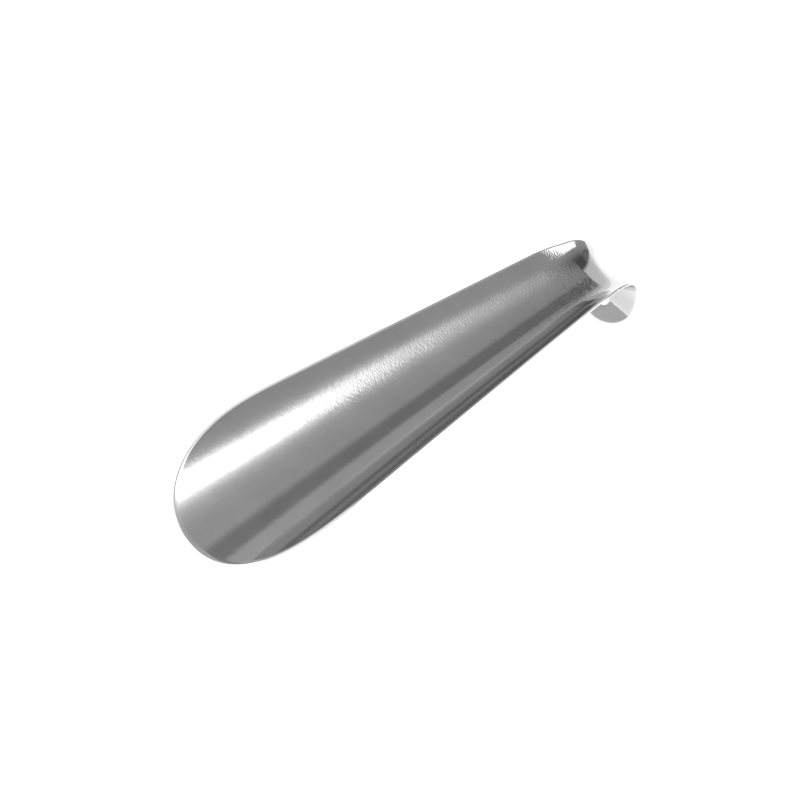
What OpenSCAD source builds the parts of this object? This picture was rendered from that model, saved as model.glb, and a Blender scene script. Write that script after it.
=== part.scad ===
// Shoehorn pressed from one piece of sheet steel. The blank is cut with a round tip and a round tab,
// rolled into a trough that tightens towards the neck, then bent over at its end: the section opens
// out across the bend, so the hook is a saddle, and flattens into the tab with the hanging hole.
// All sizes are in millimetres. The part rests on its tip and on the edge of its tab.

/* [Sheet] */
// Thickness of the sheet
sheet_t = 0.8; // [0.6:0.1:1.2]

/* [Trough] */
// Length along the centre line from the tip to the start of the hook
trough_l = 142; // [125:0.1:165]
// Width that the blank's straight sides would reach at the tip
tip_blank_w = 61.8; // [54:0.1:68]
// Width of the blank at the neck
neck_blank_w = 30.4; // [24:0.1:34]
// Angle that the rolled section spans at the tip
tip_wrap = 99.5; // [90:0.5:125]
// Angle that the rolled section spans at the neck
neck_wrap = 118.5; // [90:0.5:150]

/* [Blade tip] */
// Length over which the blade rounds off to its tip
tip_l = 43; // [30:0.1:55]
// Fullness of the rounded tip, where 2 is an ellipse
tip_power = 2.1; // [1.9:0.05:2.5]

/* [Hook] */
// Length before the hook over which the section starts to open
neck_l = 11.1; // [8:0.1:16]
// Radius of the bend, at the middle of the sheet
hook_r = 8.9; // [7:0.1:11]
// Angle that the hook turns through
hook_turn = 128.5; // [110:0.5:150]
// Length along the centre line from the start of the hook to the end of the tab
hook_l = 26.6; // [24:0.1:32]
// Width of the blank at the saddle, in the middle of the bend
saddle_blank_w = 20.2; // [18:0.1:24]
// Radius of the section across the saddle
saddle_r = 18.9; // [12:0.1:30]
// Slope of the blank's edge at the saddle, as narrowing per length
saddle_slope = 0.19; // [0:0.01:0.4]

/* [Tab] */
// Width of the tab
tab_w = 20.9; // [16:0.1:22]
// Length of the tab's rounded end
tab_round_l = 8.8; // [7:0.1:10]
// Diameter of the hanging hole
hole_d = 4; // [3:0.1:5]
// Width of the bevel that takes the burr off the hole's edges
hole_bevel = 0.15; // [0.1:0.05:0.25]
// Distance from the hole's centre to the end of the tab
hole_from_end = 6.5; // [5:0.1:8]

/* [Hidden] */

// Facets along the trough, along the hook, across the sheet and around its rounded edge
trough_rows = 24;
hook_rows = 34;
cols = 22;
rim_steps = 4;

// Step with which the slope of the surface is measured
probe = 0.01;

// Radius of the sheet's rounded edge
edge_r = sheet_t / 2;

// Stations along the centre line, counted from the tip
neck_s = trough_l - neck_l;
bend_l = hook_r * hook_turn * PI / 180;
saddle_s = trough_l + bend_l / 2;
end_s = trough_l + hook_l;
tab_s = end_s - tab_round_l;
hole_s = end_s - hole_from_end;

// How fast the blank narrows, and how tightly the section is rolled, where the trough ends
side_slope = (neck_blank_w - tip_blank_w) / 2 / neck_s;
neck_curve = radians(neck_wrap) / neck_blank_w;
neck_curve_slope = (radians(neck_wrap - tip_wrap) / neck_s - 2 * neck_curve * side_slope) / neck_blank_w;
saddle_curve = 1 / saddle_r;
opening_slope = -neck_curve / (tab_s - neck_s);

function radians(angle) = angle * PI / 180;

function degrees(angle) = angle * 180 / PI;

function unit(p) = p / norm(p);

// Cubic between two stations with a given height and slope at each
function cubic(x, ends, heights, slopes) =
    let (l = ends[1] - ends[0], t = (x - ends[0]) / l)
    heights[0] * (1 + 2 * t) * (1 - t) ^ 2
    + heights[1] * (3 - 2 * t) * t ^ 2
    + slopes[0] * l * t * (1 - t) ^ 2
    - slopes[1] * l * (1 - t) * t ^ 2;

// Half width of the blank, before its tip and its tab are rounded
function half_blank(s) =
    s < neck_s ? tip_blank_w / 2 + side_slope * s
    : s < saddle_s
        ? cubic(s, [neck_s, saddle_s], [neck_blank_w, saddle_blank_w] / 2, [side_slope, -saddle_slope])
    : s < tab_s
        ? cubic(s, [saddle_s, tab_s], [saddle_blank_w, tab_w] / 2, [-saddle_slope, 0])
    : tab_w / 2;

// Curvature of the section across the sheet: the trough's roll, the saddle's, and none on the tab
function section_curve(s) =
    s < neck_s
        ? radians(tip_wrap + (neck_wrap - tip_wrap) * s / neck_s) / 2 / half_blank(s)
    : s < saddle_s
        ? cubic(s, [neck_s, saddle_s], [neck_curve, saddle_curve], [neck_curve_slope, opening_slope])
    : s < tab_s
        ? cubic(s, [saddle_s, tab_s], [saddle_curve, 0], [opening_slope, 0])
    : 0;

// Downward turn of the centre line
function turn(s) = min(max(degrees((s - trough_l) / hook_r), 0), hook_turn);

// Centre line: straight trough, round bend, straight end of the tab
function spine(s) =
    let (a = turn(s), past = max(s - trough_l - bend_l, 0))
    [min(s, trough_l) + hook_r * sin(a) + past * cos(a), 0, hook_r * (cos(a) - 1) - past * sin(a)];

// Point of the sheet's middle surface, q being the distance from the centre line along the section
function sheet_point(s, q) =
    let (k = section_curve(s), a = turn(s), flat = k < 1e-6)
    let (across = flat ? q : sin(degrees(k * q)) / k, lift = flat ? 0 : (1 - cos(degrees(k * q))) / k)
    spine(s) + [sin(a) * lift, across, cos(a) * lift];

// Direction out of the sheet, on the hollow side of the trough
function sheet_normal(s, q) =
    unit(cross(sheet_point(s + probe, q) - sheet_point(s - probe, q),
               sheet_point(s, q + probe) - sheet_point(s, q - probe)));

// The cut outline: where a line along the blank starts at the tip and ends at the tab,
// v being its place across the blank, from -1 to 1
function start_s(v) = tip_l * (1 - max(1 - abs(v) ^ tip_power, 0) ^ (1 / tip_power));

function stop_s(v) = tab_s + tab_round_l * sqrt(max(1 - v ^ 2, 0));

rows = trough_rows + hook_rows;
neck_share = neck_s / end_s;

// Place of a row along the blank, from 0 at the tip to 1 at the tab
function row_share(i) =
    i < trough_rows
        ? neck_share * i / trough_rows
        : neck_share + (1 - neck_share) * (i - trough_rows) / hook_rows;

// Points of the faces, which stop short of the cut outline by the radius of the rounded edge
function grid_sq(i, j) =
    let (v = sin(180 * j / cols - 90), first = start_s(v) + edge_r, last = stop_s(v) - edge_r)
    let (s = first + (last - first) * row_share(i))
    [s, v * (half_blank(s) - edge_r)];

grid = [for (i = [0:rows]) [for (j = [0:cols]) grid_sq(i, j)]];
middle = [for (row = grid) [for (p = row) sheet_point(p[0], p[1])]];
normals = [for (row = grid) [for (p = row) sheet_normal(p[0], p[1])]];

// The sheet's edge, once round the outline
edge_ij = concat(
    [for (j = [0:cols - 1]) [0, j]],
    [for (i = [0:rows - 1]) [i, cols]],
    [for (j = [cols:-1:1]) [rows, j]],
    [for (i = [rows:-1:1]) [i, 0]]);
edge_n = len(edge_ij);

function edge_middle(e) = let (ij = edge_ij[(e + edge_n) % edge_n]) middle[ij[0]][ij[1]];

function edge_normal(e) = normals[edge_ij[e][0]][edge_ij[e][1]];

// Direction in which the sheet ends, square to its edge
function edge_out(e) = unit(cross(edge_normal(e), edge_middle(e + 1) - edge_middle(e - 1)));

// Points: the hollow face, the outer face, then the rings that round the edge from one to the other
hollow_face = [for (i = [0:rows]) for (j = [0:cols]) middle[i][j] + normals[i][j] * edge_r];
outer_face = [for (i = [0:rows]) for (j = [0:cols]) middle[i][j] - normals[i][j] * edge_r];
rim = [
    for (ring = [1:rim_steps - 1]) let (a = 180 * ring / rim_steps)
        for (e = [0:edge_n - 1])
            edge_middle(e) + (edge_normal(e) * cos(a) + edge_out(e) * sin(a)) * edge_r
];
sheet_points = concat(hollow_face, outer_face, rim);

function hollow_index(i, j) = i * (cols + 1) + j;

function outer_index(i, j) = (rows + 1) * (cols + 1) + hollow_index(i, j);

// Index of a point on the rounded edge: ring 0 is on the hollow face, the last on the outer face
function rim_index(ring, e) =
    let (k = e % edge_n, ij = edge_ij[k])
    ring == 0 ? hollow_index(ij[0], ij[1])
    : ring == rim_steps ? outer_index(ij[0], ij[1])
    : 2 * (rows + 1) * (cols + 1) + (ring - 1) * edge_n + k;

sheet_faces = [
    for (i = [0:rows - 1]) for (j = [0:cols - 1])
        each [
            [hollow_index(i, j), hollow_index(i, j + 1), hollow_index(i + 1, j + 1)],
            [hollow_index(i, j), hollow_index(i + 1, j + 1), hollow_index(i + 1, j)],
            [outer_index(i, j), outer_index(i + 1, j + 1), outer_index(i, j + 1)],
            [outer_index(i, j), outer_index(i + 1, j), outer_index(i + 1, j + 1)]
        ],
    for (ring = [0:rim_steps - 1]) for (e = [0:edge_n - 1])
        each [
            [rim_index(ring, e), rim_index(ring + 1, e), rim_index(ring + 1, e + 1)],
            [rim_index(ring, e), rim_index(ring + 1, e + 1), rim_index(ring, e + 1)]
        ]
];

// At rest the rounded edges of the tip and of the tab are level, and the part is centred on its base
tip_edge = spine(edge_r);
tab_edge = spine(end_s - edge_r);
rest_tilt = atan2(tip_edge[2] - tab_edge[2], tab_edge[0] - tip_edge[0]);
rest_x = [for (p = sheet_points) p[0] * cos(rest_tilt) - p[2] * sin(rest_tilt)];
rest_z = [for (p = sheet_points) p[0] * sin(rest_tilt) + p[2] * cos(rest_tilt)];
rest_shift = [-(min(rest_x) + max(rest_x)) / 2, 0, -min(rest_z)];

// Straight hole through the tab, square to the sheet at its centre
module hanging_hole() {
    translate(sheet_point(hole_s, 0))
        rotate([0, turn(hole_s), 0]) {
            cylinder(h = 4 * sheet_t, d = hole_d, center = true, $fn = 64);
            hole_bevel_cut();
            rotate([180, 0, 0]) hole_bevel_cut();
        }
}

// Cone that takes the burr off one edge of the hole
module hole_bevel_cut() {
    translate([0, 0, edge_r - hole_bevel - hole_d / 4])
        cylinder(h = hole_d / 4 + 2 * hole_bevel, d1 = hole_d / 2, d2 = hole_d + 4 * hole_bevel, $fn = 64);
}

module shoehorn_pressing() {
    color("silver")
        translate(rest_shift)
            rotate([0, -rest_tilt, 0])
                difference() {
                    polyhedron(sheet_points, sheet_faces, convexity = 8);
                    hanging_hole();
                }
}

shoehorn_pressing();
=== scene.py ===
"""Looks of a hand-length shoehorn: one sheet of bright steel with a trough and a saddle-shaped hook.

The sheet is modelled the way it is made. A flat blank is cut and its edge is rounded, then every point of
it is pressed to its place by the same laws as the CAD part, whose sizes are repeated here in millimetres.
"""

import math

import bmesh
import bpy
from mathutils import Matrix, Vector


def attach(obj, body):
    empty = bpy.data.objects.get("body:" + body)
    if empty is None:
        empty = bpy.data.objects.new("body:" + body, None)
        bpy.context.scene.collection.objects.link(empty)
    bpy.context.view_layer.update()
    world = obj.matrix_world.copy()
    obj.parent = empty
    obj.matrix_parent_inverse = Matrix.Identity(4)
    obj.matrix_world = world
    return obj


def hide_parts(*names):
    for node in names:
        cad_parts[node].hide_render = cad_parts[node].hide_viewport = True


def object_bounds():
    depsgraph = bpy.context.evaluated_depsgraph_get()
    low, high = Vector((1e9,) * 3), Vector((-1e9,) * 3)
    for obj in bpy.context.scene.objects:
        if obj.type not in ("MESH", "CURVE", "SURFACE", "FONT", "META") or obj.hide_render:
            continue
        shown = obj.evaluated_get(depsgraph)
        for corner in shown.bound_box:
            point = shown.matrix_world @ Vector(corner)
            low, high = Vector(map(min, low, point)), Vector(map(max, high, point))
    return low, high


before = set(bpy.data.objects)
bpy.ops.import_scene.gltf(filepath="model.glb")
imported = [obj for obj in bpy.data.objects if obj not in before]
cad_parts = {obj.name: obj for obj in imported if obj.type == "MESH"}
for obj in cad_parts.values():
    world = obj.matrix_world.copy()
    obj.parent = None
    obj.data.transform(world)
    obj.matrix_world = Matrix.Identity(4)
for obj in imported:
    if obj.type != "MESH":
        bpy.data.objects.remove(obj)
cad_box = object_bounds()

MM = 0.001

# Sheet and trough
SHEET_T = 0.8
TROUGH_L = 142
TIP_BLANK_W = 61.8
NECK_BLANK_W = 30.4
TIP_WRAP = math.radians(99.5)
NECK_WRAP = math.radians(118.5)

# Rounded tip of the blade
TIP_L = 43
TIP_POWER = 2.1

# Hook
NECK_L = 11.1
HOOK_R = 8.9
HOOK_TURN = math.radians(128.5)
HOOK_L = 26.6
SADDLE_BLANK_W = 20.2
SADDLE_R = 18.9
SADDLE_SLOPE = 0.19

# Tab and hanging hole
TAB_W = 20.9
TAB_ROUND_L = 8.8
HOLE_D = 4.0
HOLE_FROM_END = 6.5

# Faces along the trough, along the hook, across the sheet and round its edge
TROUGH_ROWS = 110
HOOK_ROWS = 120
COLS = 72
EDGE_STEPS = 6

# Stations along the centre line, counted from the tip
EDGE_R = SHEET_T / 2
NECK_S = TROUGH_L - NECK_L
BEND_L = HOOK_R * HOOK_TURN
SADDLE_S = TROUGH_L + BEND_L / 2
END_S = TROUGH_L + HOOK_L
TAB_S = END_S - TAB_ROUND_L
HOLE_S = END_S - HOLE_FROM_END

# How fast the blank narrows, and how tightly the section is rolled, where the trough ends
SIDE_SLOPE = (NECK_BLANK_W - TIP_BLANK_W) / 2 / NECK_S
NECK_CURVE = NECK_WRAP / NECK_BLANK_W
NECK_CURVE_SLOPE = ((NECK_WRAP - TIP_WRAP) / NECK_S - 2 * NECK_CURVE * SIDE_SLOPE) / NECK_BLANK_W
SADDLE_CURVE = 1 / SADDLE_R
OPENING_SLOPE = -NECK_CURVE / (TAB_S - NECK_S)

# Studio, by the angle from overhead towards -Y in degrees and by how far a direction points ahead along +X:
# (angle, level) of the walls, (angle beside its middle, level) and (way ahead, level) of the strip lamp, the
# same two of the wide lamp beyond its end, and (height of the direction, level) of the pale panel
WALL_LEVELS = (
    (-90, 0.57),
    (-75, 0.55),
    (-60, 0.51),
    (-45, 0.45),
    (-20, 0.435),
    (0, 0.465),
    (20, 0.45),
    (50, 0.40),
    (60, 0.36),
    (75, 0.33),
    (90, 0.325),
)
STRIP_ACROSS = (
    (-36, 0.0),
    (-30, 0.02),
    (-24, 0.05),
    (-19, 0.13),
    (-14, 0.31),
    (-11, 0.6),
    (-8, 1.0),
    (7, 1.0),
    (9, 0.62),
    (11, 0.32),
    (16, 0.08),
    (21, 0.02),
    (26, 0.0),
)
STRIP_ALONG = (
    (0.08, 1.0),
    (0.215, 1.0),
    (0.225, 0.7),
    (0.232, 0.46),
    (0.24, 0.36),
    (0.25, 0.22),
    (0.26, 0.06),
    (0.28, 0.0),
)
STRIP_LEVEL = 2.0
WIDE_ACROSS = (
    (0, 0.0),
    (5, 0.02),
    (22, 0.23),
    (36, 0.24),
    (44, 0.08),
    (52, 0.0),
)
WIDE_ALONG = (
    (0.2, 0.0),
    (0.23, 0.6),
    (0.25, 1.0),
    (0.295, 1.0),
    (0.308, 0.4),
    (0.33, 0.0),
)
PANEL_LEVELS = (
    (-0.1, 0.95),
    (0.1, 0.85),
    (0.3, 0.68),
    (0.7, 0.66),
    (1.0, 0.62),
)

# The walls darken ahead of the object, except low on the -Y side: (start, end) of the change, and its share
FALL_AHEAD = (0.12, 0.38)
FALL_SIDE = (70, 30)
FALL_SHARE = 0.3

# Dark gap between the walls: how its two borders lean with the way ahead, where they lie, and its share
GAP_TOP_LEAN = 102
GAP_TOP = (-56, -65)
GAP_BASE_LEAN = 110
GAP_BASE_REACH = 0.312
GAP_BASE = (-89, -84)
GAP_SHARE = 0.42

# Middle of the strip lamp, which leans towards -Y between two places ahead
STRIP_MIDDLE = 24
STRIP_LEAN = 220
STRIP_LEAN_AHEAD = (0.2, 0.255)

# Borders of the panel, of the dark frame round it and of the window, as (start, end) of a soft step
PANEL_TURN_SIDE = -30
PANEL_TURN_RATE = 0.0012
PANEL_AHEAD = (0.372, 0.381)
PANEL_SIDE = (-2, -14)
FRAME_AHEAD = (0.346, 0.356)
FRAME_END = (0.9, 0.74)
FRAME_SIDE = (42, 14)
FRAME_FOOT = (-68, -58)
FRAME_LEVEL = 0.09
WINDOW_AHEAD = (0.409, 0.418)
WINDOW_END = (0.78, 0.72)
WINDOW_SIDE = (43, 47)
WINDOW_LEVEL = 1.6

# Bright steel: tones and roughness, the grain across the sheet, the soft cloudiness, and a painted highlight
# that lightens the base colour near the cut edge
STEEL_TONES = (0.66, 0.72)
STEEL_ROUGHNESS = (0.04, 0.08)
NOISE_BAND = (0.3, 0.7)
GRAIN_SCALE = 28.0
GRAIN_STRETCH = 0.3
GRAIN_DEPTH = 1.1e-5
CLOUD_SCALE = 0.9
# Painted highlight: the lighter base colour at the cut edge, and how far inward in millimetres it fades
EDGE_HIGHLIGHT_TONE = 0.95
EDGE_HIGHLIGHT_FADE = 0.5

# Millimetres of the blank in one unit of its map
BLANK_MAP_UNIT = 10

# Half size of the square of faces that gives way to the hole
HOLE_PATCH = 3.2

# Floor: half size, tone, and how much it shows of its own
FLOOR_HALF = 6
FLOOR_TONE = 0.9
FLOOR_GLOW = 0.55

# Side lamp and the camera of the photograph's view
LAMP_CENTRE = (-1.0, 0.35, 0.7)
LAMP_SIZE = (0.6, 0.6)
LAMP_LEVEL = 1.5
VIEW_SENSOR = 36
VIEW_LENS = 155.35
VIEW_TARGET = (-0.00607, -0.00085, 0.01438)
VIEW_AZIMUTH = -48.334
VIEW_ELEVATION = 48.033
VIEW_ROLL = 9.932
VIEW_DISTANCE = 0.9364

# Step with which the slope of the surface is measured
PROBE = 0.01


def cubic(x, ends, heights, slopes):
    """Cubic between two stations with a given height and slope at each."""
    length = ends[1] - ends[0]
    t = (x - ends[0]) / length
    return (heights[0] * (1 + 2 * t) * (1 - t) ** 2
            + heights[1] * (3 - 2 * t) * t ** 2
            + slopes[0] * length * t * (1 - t) ** 2
            - slopes[1] * length * (1 - t) * t ** 2)


def half_blank(s):
    """Half width of the blank, before its tip and its tab are rounded."""
    if s < NECK_S:
        return TIP_BLANK_W / 2 + SIDE_SLOPE * s
    if s < SADDLE_S:
        halves = (NECK_BLANK_W / 2, SADDLE_BLANK_W / 2)
        return cubic(s, (NECK_S, SADDLE_S), halves, (SIDE_SLOPE, -SADDLE_SLOPE))
    if s < TAB_S:
        halves = (SADDLE_BLANK_W / 2, TAB_W / 2)
        return cubic(s, (SADDLE_S, TAB_S), halves, (-SADDLE_SLOPE, 0))
    return TAB_W / 2


def section_curve(s):
    """Curvature of the section across the sheet: the trough's roll, the saddle's, and none on the tab."""
    if s < NECK_S:
        return (TIP_WRAP + (NECK_WRAP - TIP_WRAP) * s / NECK_S) / 2 / half_blank(s)
    if s < SADDLE_S:
        slopes = (NECK_CURVE_SLOPE, OPENING_SLOPE)
        return cubic(s, (NECK_S, SADDLE_S), (NECK_CURVE, SADDLE_CURVE), slopes)
    if s < TAB_S:
        return cubic(s, (SADDLE_S, TAB_S), (SADDLE_CURVE, 0), (OPENING_SLOPE, 0))
    return 0


def turn(s):
    """Downward turn of the centre line."""
    return min(max((s - TROUGH_L) / HOOK_R, 0), HOOK_TURN)


def spine(s):
    """Centre line: straight trough, round bend, straight end of the tab."""
    a = turn(s)
    past = max(s - TROUGH_L - BEND_L, 0)
    x = min(s, TROUGH_L) + HOOK_R * math.sin(a) + past * math.cos(a)
    z = HOOK_R * (math.cos(a) - 1) - past * math.sin(a)
    return Vector((x, 0, z))


def sheet_point(s, q):
    """Point of the sheet's middle surface, q being the distance from the centre line along the section."""
    k = section_curve(s)
    a = turn(s)
    flat = k < 1e-6
    across = q if flat else math.sin(k * q) / k
    lift = 0 if flat else (1 - math.cos(k * q)) / k
    return spine(s) + Vector((math.sin(a) * lift, across, math.cos(a) * lift))


def sheet_normal(s, q):
    """Direction out of the sheet, on the hollow side of the trough."""
    along = sheet_point(s + PROBE, q) - sheet_point(s - PROBE, q)
    across = sheet_point(s, q + PROBE) - sheet_point(s, q - PROBE)
    return along.cross(across).normalized()


def start_s(v):
    """Station at which the cut outline starts at the tip, v being the place across the blank, -1 to 1."""
    return TIP_L * (1 - max(1 - abs(v) ** TIP_POWER, 0) ** (1 / TIP_POWER))


def stop_s(v):
    """Station at which the cut outline ends at the tab."""
    return TAB_S + TAB_ROUND_L * math.sqrt(max(1 - v ** 2, 0))


def rest_placement():
    """Turn and shift that set the edges of the tip and the tab on the ground, where the CAD part is."""
    tip_edge = spine(EDGE_R)
    tab_edge = spine(END_S - EDGE_R)
    tilt = math.atan2(tip_edge.z - tab_edge.z, tab_edge.x - tip_edge.x)
    level = Matrix.Rotation(-tilt, 4, "Y")
    tip_at_rest = level @ tip_edge
    low_x = cad_box[0][0] / MM + EDGE_R
    return Matrix.Translation((low_x - tip_at_rest.x, 0, EDGE_R - tip_at_rest.z)) @ level


def flat_blank():
    """The blank as a flat plate, x along its centre line, y across it, with the hole and a rounded edge."""
    bm = bmesh.new()
    rows = TROUGH_ROWS + HOOK_ROWS
    bmesh.ops.create_grid(bm, x_segments=rows, y_segments=COLS, size=1)
    neck_share = NECK_S / END_S
    trough_share = TROUGH_ROWS / rows
    hole_share = (HOLE_S - EDGE_R) / (END_S - 2 * EDGE_R)
    patch_l = HOLE_PATCH / END_S
    patch_w = math.asin(HOLE_PATCH / (TAB_W / 2))
    patch = []
    for face in bm.faces:
        middle = face.calc_center_median()
        share = row_share((middle.x + 1) / 2, trough_share, neck_share)
        if abs(share - hole_share) < patch_l and abs(middle.y) * math.pi / 2 < patch_w:
            patch.append(face)
    for vert in bm.verts:
        v = math.sin(vert.co.y * math.pi / 2)
        share = row_share((vert.co.x + 1) / 2, trough_share, neck_share)
        first = start_s(v) + EDGE_R
        last = stop_s(v) - EDGE_R
        s = first + (last - first) * share
        vert.co = (s, v * (half_blank(s) - EDGE_R), 0)
    punch_hole(bm, patch)
    thicken(bm)
    return bm


def row_share(place, trough_share, neck_share):
    """Place of a row along the blank, with closer rows along the hook than along the trough."""
    if place < trough_share:
        return neck_share * place / trough_share
    return neck_share + (1 - neck_share) * (place - trough_share) / (1 - trough_share)


def punch_hole(bm, patch):
    """Two rings of faces lead from the patch's square rim to the round hole."""
    centre = Vector((HOLE_S, 0, 0))
    radius = HOLE_D / 2 + EDGE_R
    for pull in (0.5, 1.0):
        bmesh.ops.inset_region(bm, faces=patch, thickness=0.1, use_boundary=True)
        inside = set(patch)
        rim = set()
        for face in patch:
            for edge in face.edges:
                if any(other not in inside for other in edge.link_faces):
                    rim.update(edge.verts)
        for vert in rim:
            away = vert.co - centre
            vert.co = vert.co.lerp(centre + away.normalized() * radius, pull)
    bmesh.ops.delete(bm, geom=patch, context="FACES")


def thicken(bm):
    """The plate gets its thickness, and its cut edge and the hole's are rounded."""
    upper = bmesh.ops.extrude_face_region(bm, geom=list(bm.faces), use_keep_orig=True)["geom"]
    for item in upper:
        if isinstance(item, bmesh.types.BMVert):
            item.co.z = EDGE_R
    raised = {item for item in upper if isinstance(item, bmesh.types.BMVert)}
    for vert in bm.verts:
        if vert not in raised:
            vert.co.z = -EDGE_R
    bmesh.ops.recalc_face_normals(bm, faces=bm.faces)
    walls = [e for e in bm.edges if (e.verts[0] in raised) != (e.verts[1] in raised)]
    bmesh.ops.subdivide_edges(bm, edges=walls, cuts=EDGE_STEPS - 1, use_grid_fill=True)
    bm.normal_update()
    ring = [v for v in bm.verts if abs(v.co.z) < EDGE_R * 0.999]
    moves = []
    for vert in ring:
        angle = math.acos(0) * (1 - vert.co.z / EDGE_R)
        out = Vector((vert.normal.x, vert.normal.y, 0)).normalized()
        place = vert.co.xy.to_3d() + out * EDGE_R * math.sin(angle)
        moves.append((vert, place, EDGE_R * math.cos(angle)))
    for vert, place, height in moves:
        vert.co = (place.x, place.y, height)


def edge_distance(s, q):
    """About how far a point of the blank is from its cut outline."""
    v = min(abs(q) / half_blank(s), 1)
    return min(half_blank(s) - abs(q), s - start_s(v), stop_s(v) - s)


def pressed_sheet(material):
    """The finished pressing, in the place of the CAD part."""
    bm = flat_blank()
    blank_map = bm.loops.layers.uv.new("blank")
    # Painted highlight: share of the lighter edge colour at each vertex, 1 at the cut edge and fading inward
    edge_highlight_layer = bm.verts.layers.float.new("painted_edge_highlight")
    for face in bm.faces:
        face.smooth = True
        for loop in face.loops:
            loop[blank_map].uv = loop.vert.co.xy / BLANK_MAP_UNIT
    place = Matrix.Scale(MM, 4) @ rest_placement()
    for vert in bm.verts:
        s, q, height = vert.co
        vert[edge_highlight_layer] = math.exp(-max(edge_distance(s, q), 0) / EDGE_HIGHLIGHT_FADE)
        vert.co = place @ (sheet_point(s, q) + sheet_normal(s, q) * height)
    bmesh.ops.recalc_face_normals(bm, faces=bm.faces)
    mesh = bpy.data.meshes.new("pressed_sheet")
    bm.to_mesh(mesh)
    bm.free()
    mesh.materials.append(material)
    piece = bpy.data.objects.new("pressed_sheet", mesh)
    bpy.context.scene.collection.objects.link(piece)
    return piece


def node(tree, kind, **settings):
    """Adds a node to a tree, with its plain properties and its inputs' values set by name."""
    made = tree.nodes.new(kind)
    for name, value in settings.items():
        if hasattr(made, name):
            setattr(made, name, value)
        else:
            made.inputs[name.replace("_", " ").title()].default_value = value
    return made


def bright_steel():
    """Bright rolled steel: mirror-like, with a fine grain across the sheet and a painted highlight, a
    lighter base colour, along the cut edge.
    """
    material = bpy.data.materials.new("bright_steel")
    material.use_nodes = True
    tree = material.node_tree
    tree.nodes.clear()
    link = tree.links.new
    out = tree.nodes.new("ShaderNodeOutputMaterial")
    shader = tree.nodes.new("ShaderNodeBsdfPrincipled")
    shader.inputs["Metallic"].default_value = 1.0
    link(shader.outputs["BSDF"], out.inputs["Surface"])

    blank = tree.nodes.new("ShaderNodeUVMap")
    blank.uv_map = "blank"
    stretch = node(tree, "ShaderNodeMapping")
    stretch.inputs["Scale"].default_value = (1.0, GRAIN_STRETCH, 1.0)
    link(blank.outputs["UV"], stretch.inputs["Vector"])
    grain = node(tree, "ShaderNodeTexNoise", scale=GRAIN_SCALE, detail=1.0, roughness=0.5)
    link(stretch.outputs["Vector"], grain.inputs["Vector"])
    cloud = node(tree, "ShaderNodeTexNoise", scale=CLOUD_SCALE, detail=3.0, roughness=0.5)
    link(blank.outputs["UV"], cloud.inputs["Vector"])
    edge_highlight = tree.nodes.new("ShaderNodeAttribute")
    edge_highlight.attribute_name = "painted_edge_highlight"

    tone = tree.nodes.new("ShaderNodeValToRGB")
    for element, place, level in zip(tone.color_ramp.elements, NOISE_BAND, STEEL_TONES):
        element.position = place
        element.color = (level, level, level, 1)
    link(cloud.outputs["Fac"], tone.inputs["Fac"])
    # Painted highlight: the base colour turns lighter towards the cut edge, standing in for the bright
    # reflection on the rim
    edge = tree.nodes.new("ShaderNodeMix")
    edge.data_type = "RGBA"
    edge.inputs["B"].default_value = (EDGE_HIGHLIGHT_TONE, EDGE_HIGHLIGHT_TONE, EDGE_HIGHLIGHT_TONE, 1)
    link(edge_highlight.outputs["Fac"], edge.inputs["Factor"])
    link(tone.outputs["Color"], edge.inputs["A"])
    link(edge.outputs["Result"], shader.inputs["Base Color"])

    rough = tree.nodes.new("ShaderNodeMapRange")
    rough.inputs["From Min"].default_value = NOISE_BAND[0]
    rough.inputs["From Max"].default_value = NOISE_BAND[1]
    rough.inputs["To Min"].default_value = STEEL_ROUGHNESS[0]
    rough.inputs["To Max"].default_value = STEEL_ROUGHNESS[1]
    link(grain.outputs["Fac"], rough.inputs["Value"])
    link(rough.outputs["Result"], shader.inputs["Roughness"])

    bump = node(tree, "ShaderNodeBump", strength=1.0, distance=GRAIN_DEPTH)
    link(grain.outputs["Fac"], bump.inputs["Height"])
    link(bump.outputs["Normal"], shader.inputs["Normal"])
    return material


def floor():
    """Plain white floor, which shows as white and keeps the shadow."""
    bm = bmesh.new()
    bmesh.ops.create_grid(bm, x_segments=1, y_segments=1, size=FLOOR_HALF)
    mesh = bpy.data.meshes.new("floor")
    bm.to_mesh(mesh)
    bm.free()
    material = bpy.data.materials.new("white_floor")
    material.use_nodes = True
    tree = material.node_tree
    shader = tree.nodes["Principled BSDF"]
    shader.inputs["Base Color"].default_value = (FLOOR_TONE, FLOOR_TONE, FLOOR_TONE, 1)
    shader.inputs["Roughness"].default_value = 0.9
    path = tree.nodes.new("ShaderNodeLightPath")
    seen = tree.nodes.new("ShaderNodeMath")
    seen.operation = "MAXIMUM"
    seen_any = tree.nodes.new("ShaderNodeMath")
    seen_any.operation = "MAXIMUM"
    tree.links.new(path.outputs["Is Camera Ray"], seen.inputs[0])
    tree.links.new(path.outputs["Is Glossy Ray"], seen.inputs[1])
    tree.links.new(seen.outputs["Value"], seen_any.inputs[0])
    tree.links.new(path.outputs["Is Transmission Ray"], seen_any.inputs[1])
    level = tree.nodes.new("ShaderNodeMath")
    level.operation = "MULTIPLY"
    level.inputs[1].default_value = FLOOR_GLOW
    tree.links.new(seen_any.outputs["Value"], level.inputs[0])
    tree.links.new(level.outputs["Value"], shader.inputs["Emission Strength"])
    shader.inputs["Emission Color"].default_value = (1, 1, 1, 1)
    mesh.materials.append(material)
    piece = bpy.data.objects.new("floor", mesh)
    bpy.context.scene.collection.objects.link(piece)


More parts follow.
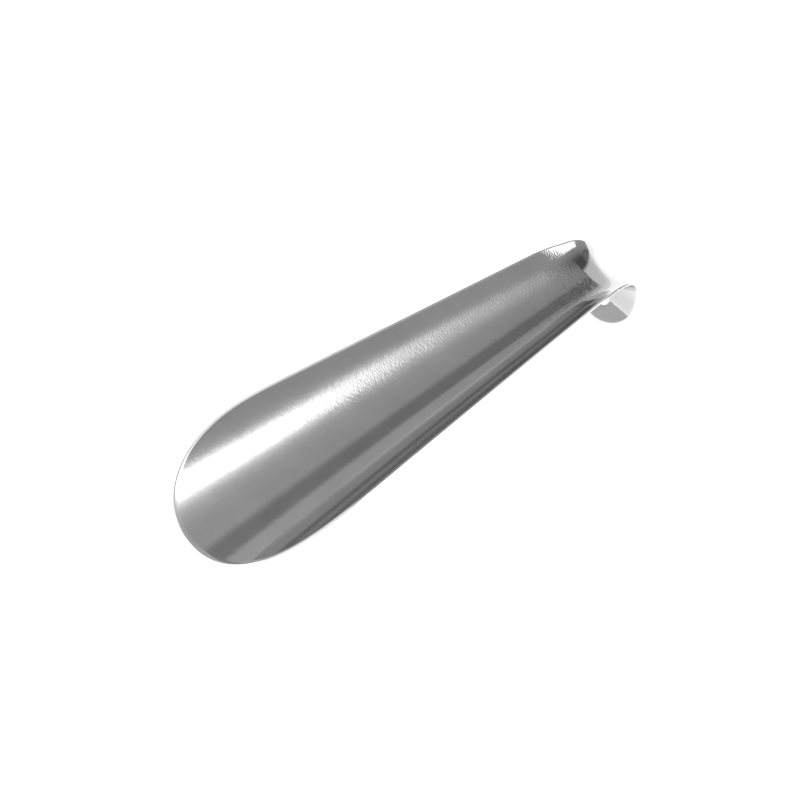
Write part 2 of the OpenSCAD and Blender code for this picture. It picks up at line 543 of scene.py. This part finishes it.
def calc(tree, operation, first, second=None):
    """Adds one step of arithmetic on numbers or on other nodes' outputs."""
    step = tree.nodes.new("ShaderNodeMath")
    step.operation = operation
    for socket, value in zip(step.inputs, (first, second)):
        if isinstance(value, (int, float)):
            socket.default_value = value
        elif value is not None:
            tree.links.new(value, socket)
    return step.outputs["Value"]


def soft_step(tree, value, low, high):
    """Rises softly from 0 at low to 1 at high."""
    step = tree.nodes.new("ShaderNodeMapRange")
    step.interpolation_type = "SMOOTHSTEP"
    step.inputs["From Min"].default_value = low
    step.inputs["From Max"].default_value = high
    tree.links.new(value, step.inputs["Value"])
    return step.outputs["Result"]


def profile(tree, value, points):
    """A level that follows a row of (place, level) points."""
    low = points[0][0]
    span = points[-1][0] - low
    share = calc(tree, "DIVIDE", calc(tree, "SUBTRACT", value, low), span)
    ramp = tree.nodes.new("ShaderNodeValToRGB")
    elements = ramp.color_ramp.elements
    elements.remove(elements[1])
    for i, (place, level) in enumerate(points):
        element = elements[0] if i == 0 else elements.new((place - low) / span)
        element.position = (place - low) / span
        element.color = (level, level, level, 1)
    tree.links.new(share, ramp.inputs["Fac"])
    return ramp.outputs["Color"]


def dimmed(tree, level, mask, share):
    """Takes a share of the level away where the mask is 1."""
    return calc(tree, "MULTIPLY", level, calc(tree, "SUBTRACT", 1, calc(tree, "MULTIPLY", mask, share)))


def region(tree, *borders):
    """A mask that is 1 inside all of the given (value, soft step) borders."""
    mask = None
    for value, limits in borders:
        inside = soft_step(tree, value, *limits)
        mask = inside if mask is None else calc(tree, "MULTIPLY", mask, inside)
    return mask


def studio_dome():
    """The studio: grey walls, a strip lamp, a wide lamp, a dark gap, a pale panel in a frame, a window.

    Side is the angle from overhead towards -Y in degrees, ahead is how far a direction points along +X.
    """
    world = bpy.data.worlds.new("studio")
    bpy.context.scene.world = world
    world.use_nodes = True
    tree = world.node_tree
    where = tree.nodes.new("ShaderNodeTexCoord")
    parts = tree.nodes.new("ShaderNodeSeparateXYZ")
    tree.links.new(where.outputs["Generated"], parts.inputs["Vector"])
    ahead, left, high = (parts.outputs[name] for name in "XYZ")
    turned = calc(tree, "ARCTAN2", calc(tree, "MULTIPLY", left, -1), high)
    side = calc(tree, "DEGREES", turned)

    walls = profile(tree, side, WALL_LEVELS)
    fall = calc(tree, "MULTIPLY", soft_step(tree, ahead, *FALL_AHEAD), soft_step(tree, side, *FALL_SIDE))
    walls = dimmed(tree, walls, fall, FALL_SHARE)

    gap_top = calc(tree, "SUBTRACT", side, calc(tree, "MULTIPLY", ahead, GAP_TOP_LEAN))
    reach = calc(tree, "MINIMUM", ahead, GAP_BASE_REACH)
    gap_base = calc(tree, "SUBTRACT", side, calc(tree, "MULTIPLY", reach, GAP_BASE_LEAN))
    in_gap = calc(tree, "MULTIPLY", soft_step(tree, gap_top, *GAP_TOP), soft_step(tree, gap_base, *GAP_BASE))
    walls = dimmed(tree, walls, in_gap, GAP_SHARE)

    lean_from, lean_to = STRIP_LEAN_AHEAD
    lean = calc(tree, "SUBTRACT", calc(tree, "MINIMUM", ahead, lean_to), lean_from)
    lean = calc(tree, "MAXIMUM", lean, 0)
    middle = calc(tree, "ADD", calc(tree, "MULTIPLY", lean, STRIP_LEAN), STRIP_MIDDLE)
    across = profile(tree, calc(tree, "SUBTRACT", side, middle), STRIP_ACROSS)
    strip = calc(tree, "MULTIPLY", across, profile(tree, ahead, STRIP_ALONG))
    walls = calc(tree, "ADD", walls, calc(tree, "MULTIPLY", strip, STRIP_LEVEL))
    wide = calc(tree, "MULTIPLY", profile(tree, side, WIDE_ACROSS), profile(tree, ahead, WIDE_ALONG))
    walls = calc(tree, "ADD", walls, wide)

    past = calc(tree, "MAXIMUM", calc(tree, "SUBTRACT", PANEL_TURN_SIDE, side), 0)
    inward = calc(tree, "SUBTRACT", ahead, calc(tree, "MULTIPLY", past, PANEL_TURN_RATE))
    panel_mask = region(tree, (inward, PANEL_AHEAD), (side, PANEL_SIDE))
    frame_borders = ((inward, FRAME_AHEAD), (side, FRAME_SIDE), (side, FRAME_FOOT), (ahead, FRAME_END))
    frame_mask = region(tree, *frame_borders)
    window_mask = region(tree, (ahead, WINDOW_AHEAD), (ahead, WINDOW_END), (side, WINDOW_SIDE))
    level = mixed(tree, frame_mask, walls, FRAME_LEVEL)
    level = mixed(tree, panel_mask, level, profile(tree, high, PANEL_LEVELS))
    level = mixed(tree, window_mask, level, WINDOW_LEVEL)
    tree.links.new(level, tree.nodes["Background"].inputs["Color"])


def mixed(tree, share, first, second):
    """Goes from the first level to the second with the share."""
    mix = tree.nodes.new("ShaderNodeMix")
    tree.links.new(share, mix.inputs["Factor"])
    tree.links.new(first, mix.inputs["A"])
    if isinstance(second, float):
        mix.inputs["B"].default_value = second
    else:
        tree.links.new(second, mix.inputs["B"])
    return mix.outputs["Result"]


def soft_lamp(name, centre, size, level):
    """Large soft lamp that faces the object and shows with the given level."""
    lamp = bpy.data.lights.new(name, "AREA")
    lamp.shape = "RECTANGLE"
    lamp.size, lamp.size_y = size
    lamp.energy = level * math.pi * size[0] * size[1]
    piece = bpy.data.objects.new(name, lamp)
    aim = Vector(centre).to_track_quat("Z", "Y").to_matrix().to_4x4()
    piece.matrix_world = Matrix.Translation(centre) @ aim
    bpy.context.scene.collection.objects.link(piece)


def camera():
    """The photograph's view."""
    lens = bpy.data.cameras.new("photo_view")
    lens.sensor_width = VIEW_SENSOR
    lens.lens = VIEW_LENS
    piece = bpy.data.objects.new("photo_view", lens)
    target = Matrix.Translation(VIEW_TARGET)
    azimuth = Matrix.Rotation(math.radians(VIEW_AZIMUTH), 4, "Z")
    elevation = Matrix.Rotation(math.radians(90 - VIEW_ELEVATION), 4, "X")
    roll = Matrix.Rotation(math.radians(VIEW_ROLL), 4, "Z")
    away = Matrix.Translation((0, 0, VIEW_DISTANCE))
    piece.matrix_world = target @ azimuth @ elevation @ roll @ away
    bpy.context.scene.collection.objects.link(piece)
    bpy.context.scene.camera = piece


camera()
sheet = pressed_sheet(bright_steel())
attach(sheet, "root")
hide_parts("shoehorn_pressing")
floor()
studio_dome()
soft_lamp("side_lamp", LAMP_CENTRE, LAMP_SIZE, LAMP_LEVEL)
bpy.context.scene.view_settings.view_transform = "Standard"
